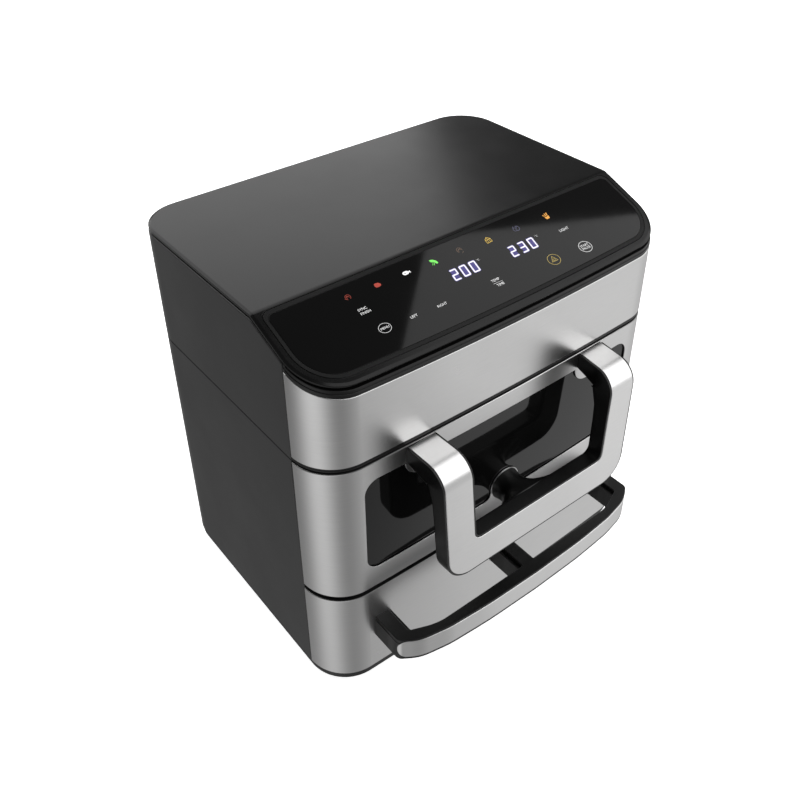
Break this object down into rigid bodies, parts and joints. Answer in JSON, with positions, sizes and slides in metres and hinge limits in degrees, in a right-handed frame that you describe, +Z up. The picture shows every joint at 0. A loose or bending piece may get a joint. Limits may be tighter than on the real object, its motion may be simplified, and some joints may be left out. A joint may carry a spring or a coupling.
{
  "type": "two-drawer air fryer",
  "caption": "Box-shaped two-tier air fryer with a windowed divided main drawer, a plain lower drawer, a sloped touch panel and twin convection fans.",
  "frame": {"origin": "bottom centre of the bounding box, on the floor under the feet", "axes": "+Z up, +X to the right seen from the front, the drawers and the control panel face -Y"},
  "size_m": [0.4, 0.3515, 0.389],
  "materials": {
    "charcoal_shell": "satin, fine grain",
    "black_plastic": "satin",
    "black_glass": "gloss, back-printed black",
    "clear_glass": "gloss, smoked",
    "brushed_steel": "fine brushed",
    "rubber": "matt",
    "coated_aluminium": "non-stick coating",
    "circuit_board": "solder mask",
    "fibre": "matt ceramic fibre",
    "dark_steel": "heat-darkened",
    "bronze": "sintered",
    "fan_aluminium": "pressed sheet",
    "plated_sheet": "plated steel sheet"
  },
  "bodies": {
    "housing": {"upper_shell": "charcoal_shell", "lower_shell": "charcoal_shell", "top_cover": "black_plastic", "panel_frame": "black_plastic", "control_glass": "black_glass", "touch_board": "circuit_board", "upper_front_band": "brushed_steel", "upper_front_carrier": "black_plastic", "base_pan": "black_plastic", "rear_vent": "black_plastic", "mains_inlet": "black_plastic", "foot_front_left": "rubber", "foot_front_right": "rubber", "foot_back_left": "rubber", "foot_back_right": "rubber", "main_liner": "plated_sheet", "lower_liner": "plated_sheet", "middle_deck": "black_plastic", "exhaust_duct": "plated_sheet", "insulation_sheet": "fibre", "heater_guard": "plated_sheet", "heater_lower": "dark_steel", "board_tray": "black_plastic", "power_board": "circuit_board", "switch_main": "black_plastic", "switch_lower": "black_plastic", "heater_left": "dark_steel", "heater_right": "dark_steel", "motor_left": "plated_sheet", "motor_right": "plated_sheet", "bearing_left": "bronze", "bearing_right": "bronze"},
    "main_drawer": {"main_front_panel": "brushed_steel", "main_front_frame": "black_plastic", "window_glass": "black_glass", "window_seal": "rubber", "inner_glass": "clear_glass", "inner_door": "plated_sheet", "main_tub": "coated_aluminium", "divider": "coated_aluminium", "crisper_left": "coated_aluminium", "crisper_right": "coated_aluminium", "main_handle_core": "black_plastic", "main_handle_trim": "brushed_steel", "handle_screw_left": "plated_sheet", "handle_screw_right": "plated_sheet"},
    "lower_drawer": {"lower_front_panel": "brushed_steel", "lower_front_frame": "black_plastic", "lower_tub": "coated_aluminium", "lower_crisper": "coated_aluminium", "lower_handle_core": "black_plastic", "lower_handle_trim": "brushed_steel", "loop_screw_left": "plated_sheet", "loop_screw_right": "plated_sheet"},
    "left_fan": {"fan_left": "fan_aluminium", "fan_shaft_left": "dark_steel"},
    "right_fan": {"fan_right": "fan_aluminium", "fan_shaft_right": "dark_steel"}
  },
  "joints": [
    {"name": "main_drawer_slide", "type": "slide", "parent": "housing", "child": "main_drawer", "axis": [0, -1, 0], "range_m": [0, 0.2]},
    {"name": "lower_drawer_slide", "type": "slide", "parent": "housing", "child": "lower_drawer", "axis": [0, -1, 0], "range_m": [0, 0.2]},
    {"name": "left_fan_spin", "type": "hinge", "parent": "housing", "child": "left_fan", "pos_m": [-0.086, 0.0312, 0.294], "axis": [0, 0, 1], "continuous": true},
    {"name": "right_fan_spin", "type": "hinge", "parent": "housing", "child": "right_fan", "pos_m": [0.086, 0.0312, 0.294], "axis": [0, 0, 1], "continuous": true}
  ]
}
